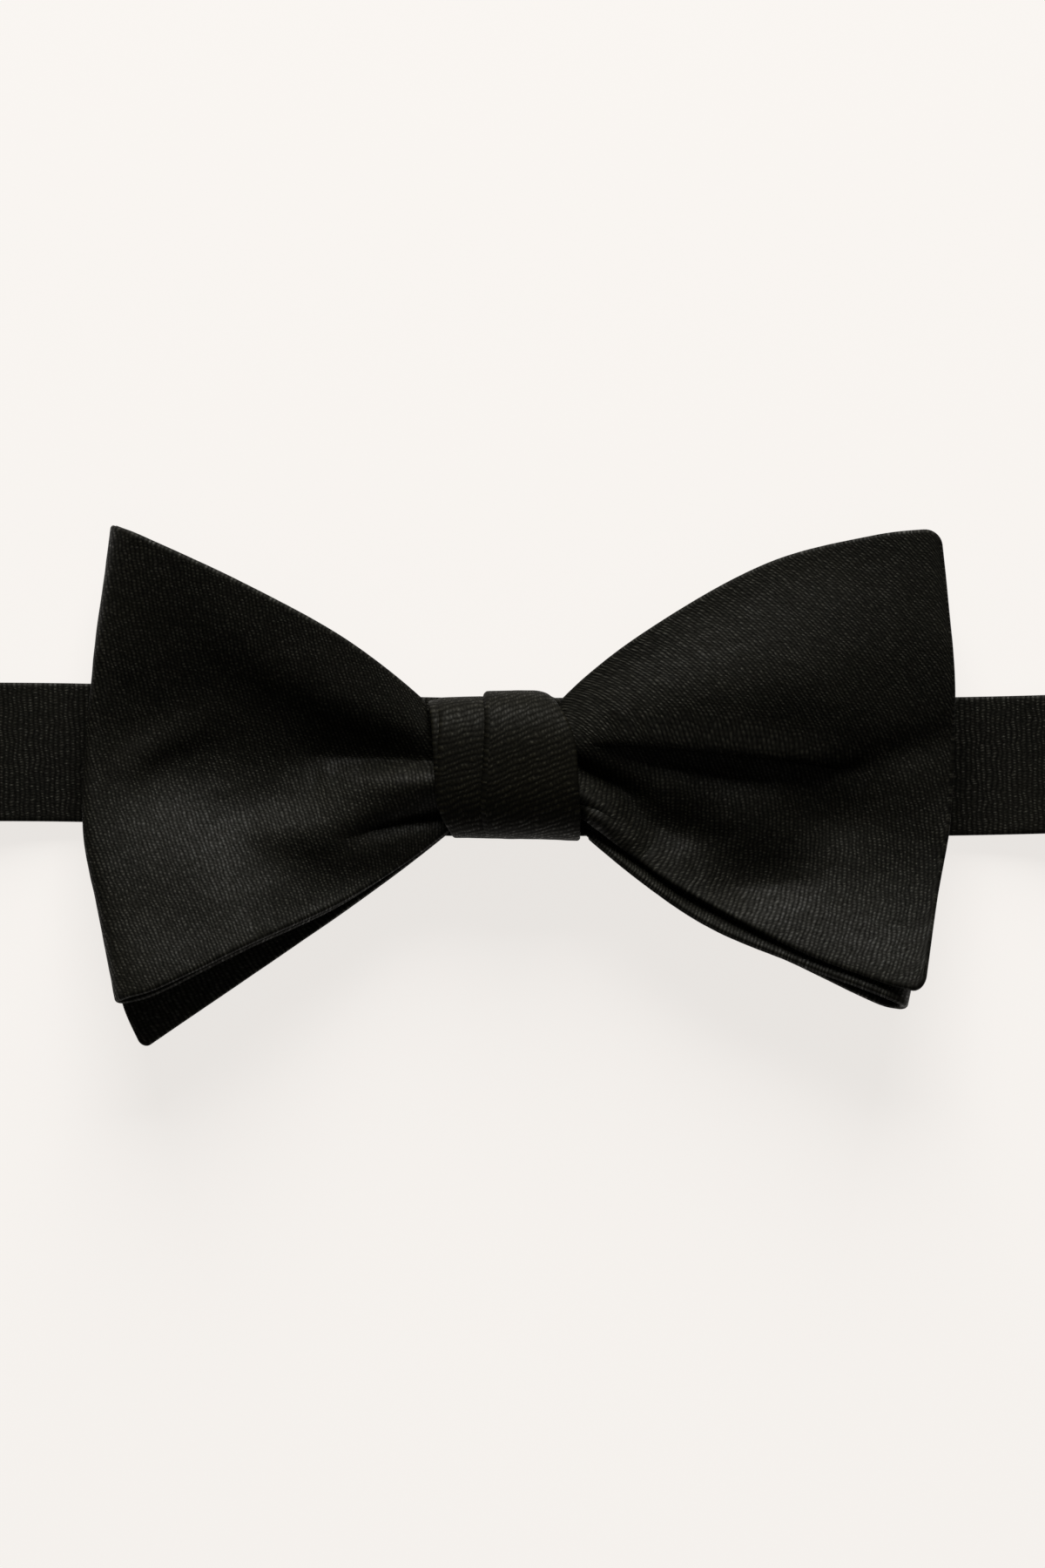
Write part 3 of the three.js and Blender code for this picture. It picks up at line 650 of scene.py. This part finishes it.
# The overlapping part: how far it stands over the part beside it, the share of the strap's width where
# it begins and over which it rises, and the share of the way across the knot where it shows.
KNOT_PLEAT = 0.7
PLEAT_AT = 0.4
PLEAT_EDGE = 0.016
PLEAT_LINE = table("at share", [(-1, 0.283), (0, 0.371), (1, 0.482)])
CREASE_DEPTH, CREASE_BESIDE, CREASE_WIDTH = 0.3, 0.022, 0.012  # the fine crease beside the pleat
# The under layer's edge: its depth, its share of the strap's width, how softly it ends, and over which
# stretches from the knot's lower edge (-1) to its upper edge (1) it comes out and widens.
UNDER_LAYER = 0.3
UNDER_AT = 0.075
UNDER_EDGE = 0.015
UNDER_COMES_OUT, UNDER_WIDENS = (-0.9, 0.2), (-1, 0.8)
KNOT_STEPS = 280


def knot_middle(place, v):
    """The strap's middle surface. place counts the mesh steps from the knot's top over its front."""
    angle = 2 * math.pi * place / KNOT_STEPS
    c, s = np.cos(angle), np.sin(angle)
    power = 2 / np.where(s > 0, KNOT_FRONT_POWER, KNOT_BACK_POWER)
    y = KNOT_HALF_HEIGHT * np.sign(c) * np.abs(c) ** power
    z = KNOT_HALF_DEPTH * np.sign(s) * np.abs(s) ** power
    forward = smoothstep(s, *KNOT_TURNS)
    left = KNOT_BACK_LEFT * (1 - forward) + column(KNOT_SIDES, "left", c) * forward
    right = KNOT_BACK_RIGHT * (1 - forward) + column(KNOT_SIDES, "right", c) * forward
    share = (v + 1) / 2
    over = KNOT_PLEAT * smoothstep(share, PLEAT_AT - PLEAT_EDGE, PLEAT_AT)
    over = over - CREASE_DEPTH * np.exp(-(((share - PLEAT_AT + CREASE_BESIDE) / CREASE_WIDTH) ** 2))
    under_at = UNDER_AT * smoothstep(c, *UNDER_WIDENS)
    under = 1 - smoothstep(share, under_at, under_at + UNDER_EDGE)
    over = over - UNDER_LAYER * under * smoothstep(c, *UNDER_COMES_OUT)
    over = over * forward
    pleat = column(PLEAT_LINE, "share", c)
    drawn_to = np.where(share < PLEAT_AT, share / PLEAT_AT * pleat,
                        pleat + (share - PLEAT_AT) / (1 - PLEAT_AT) * (1 - pleat))
    x = left * (1 - drawn_to) + right * drawn_to
    y = y - column(KNOT_DROP, "top", share) * np.maximum(c, 0) ** DROP_POWER
    y = y - column(KNOT_DROP, "bottom", share) * np.maximum(-c, 0) ** DROP_POWER
    y = KNOT_CENTRE_Y + y + over * np.maximum(c, 0)
    return np.stack([x, y, KNOT_CENTRE_Z + z + over * np.maximum(s, 0)], -1)


def knot_half(place):
    """Half the width of the strap, laid flat."""
    return np.full_like(place, STRAP_WIDTH / 2)


LEAN_BESIDE, LEAN_ON_PLEAT = 0.12, 0.3


def knot_lean(v):
    """The lines of the weave rise less to the left of the pleat than to its right."""
    return np.where((v + 1) / 2 < PLEAT_AT, LEAN_BESIDE, LEAN_ON_PLEAT)


# Steps across the strap, and closer ones beside and on the pleat and over the under layer's edge.
KNOT_ACROSS, KNOT_CLOSE = 90, 24
PLEAT_BESIDE, PLEAT_ON, UNDER_REACH = 0.1, 0.02, 0.2
pleat_v = 2 * PLEAT_AT - 1
knot_flat = np.unique(np.concatenate([
    np.linspace(-1, 1, KNOT_ACROSS), np.linspace(pleat_v - PLEAT_BESIDE, pleat_v + PLEAT_ON, KNOT_CLOSE),
    np.linspace(-1, -1 + UNDER_REACH, KNOT_CLOSE)]))
knot_wrap = cloth_strip(
    "knot_wrap_satin", knot_middle, knot_half, np.arange(KNOT_STEPS + 1.0), knot_flat, joined=True,
    relief=0.08, shear=knot_lean)
# Painted shade: the knot is the same satin as the bows, but its grains are coloured darker and the gaps
# between them a little lighter, standing in for the duller sheen of its threads, which run the other way
# round the knot.
KNOT_SATIN_WITH_PAINTED_SHADE = satin(
    "knot satin with painted shade", line=0.8, lean=0.1, thread=0.5, stagger=0.3, dark=(0.0009, 0.0008, 0.0005),
    light=(0.0078, 0.0068, 0.0028), relief=0.09, gloss=0.5, glint=0.14)
knot_wrap.data.materials.append(KNOT_SATIN_WITH_PAINTED_SHADE)
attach(knot_wrap, "root")
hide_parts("knot_wrap")

# Surface, light and camera
# A plain pale lit surface, a broad soft light from beyond the bow's top edge, a weak one overhead, and
# the camera straight above, framing the bow as the photograph does.

FLOOR_SIZE = 4.0  # metres
floor_mesh = bpy.data.meshes.new("floor")
ground = bmesh.new()
bmesh.ops.create_grid(ground, x_segments=1, y_segments=1, size=FLOOR_SIZE / 2)
ground.to_mesh(floor_mesh)
ground.free()
floor = bpy.data.objects.new("floor", floor_mesh)
bpy.context.scene.collection.objects.link(floor)
pale = Finish("pale surface", Base_Color=(0.2, 0.193, 0.186, 1), Roughness=0.9, Specular_IOR_Level=0.0,
              Emission_Color=(1, 0.965, 0.93, 1), Emission_Strength=0.795)
floor_mesh.materials.append(pale.material)


def soft_light(name, place, size, power):
    """A square soft light at a place in metres, aimed at the middle of the bow."""
    data = bpy.data.lights.new(name, "AREA")
    data.size = size
    data.energy = power
    lamp = bpy.data.objects.new(name, data)
    lamp.location = place
    lamp.rotation_euler = (-Vector(place)).to_track_quat("-Z", "Y").to_euler()
    bpy.context.scene.collection.objects.link(lamp)


soft_light("window", place=(0.0, 1.36, 0.74), size=1.0, power=34)
soft_light("ceiling", place=(0.2, -0.4, 2.0), size=1.4, power=1.5)
ROOM_COLOUR, ROOM_LIGHT = (1, 0.98, 0.96, 1), 0.05
world = bpy.data.worlds.new("room")
world.use_nodes = True
room = world.node_tree.nodes["Background"].inputs
room["Color"].default_value = ROOM_COLOUR
room["Strength"].default_value = ROOM_LIGHT
bpy.context.scene.world = world
bpy.context.scene.view_settings.view_transform = "Standard"

PHOTO_HEIGHT = 212.4 * MM  # what the picture shows from top to bottom, at the height of the folds
FOLDS_HEIGHT = 8 * MM
PHOTO_MIDDLE = Vector((0.34, 0.11, 0)) * MM
CAMERA_HEIGHT = 1.2  # metres
SENSOR = 36.0
camera_data = bpy.data.cameras.new("camera")
camera_data.sensor_fit = "VERTICAL"
camera_data.sensor_height = SENSOR
camera_data.lens = SENSOR * (CAMERA_HEIGHT - FOLDS_HEIGHT) / PHOTO_HEIGHT
camera = bpy.data.objects.new("camera", camera_data)
camera.location = PHOTO_MIDDLE + Vector((0, 0, CAMERA_HEIGHT))
bpy.context.scene.collection.objects.link(camera)
bpy.context.scene.camera = camera
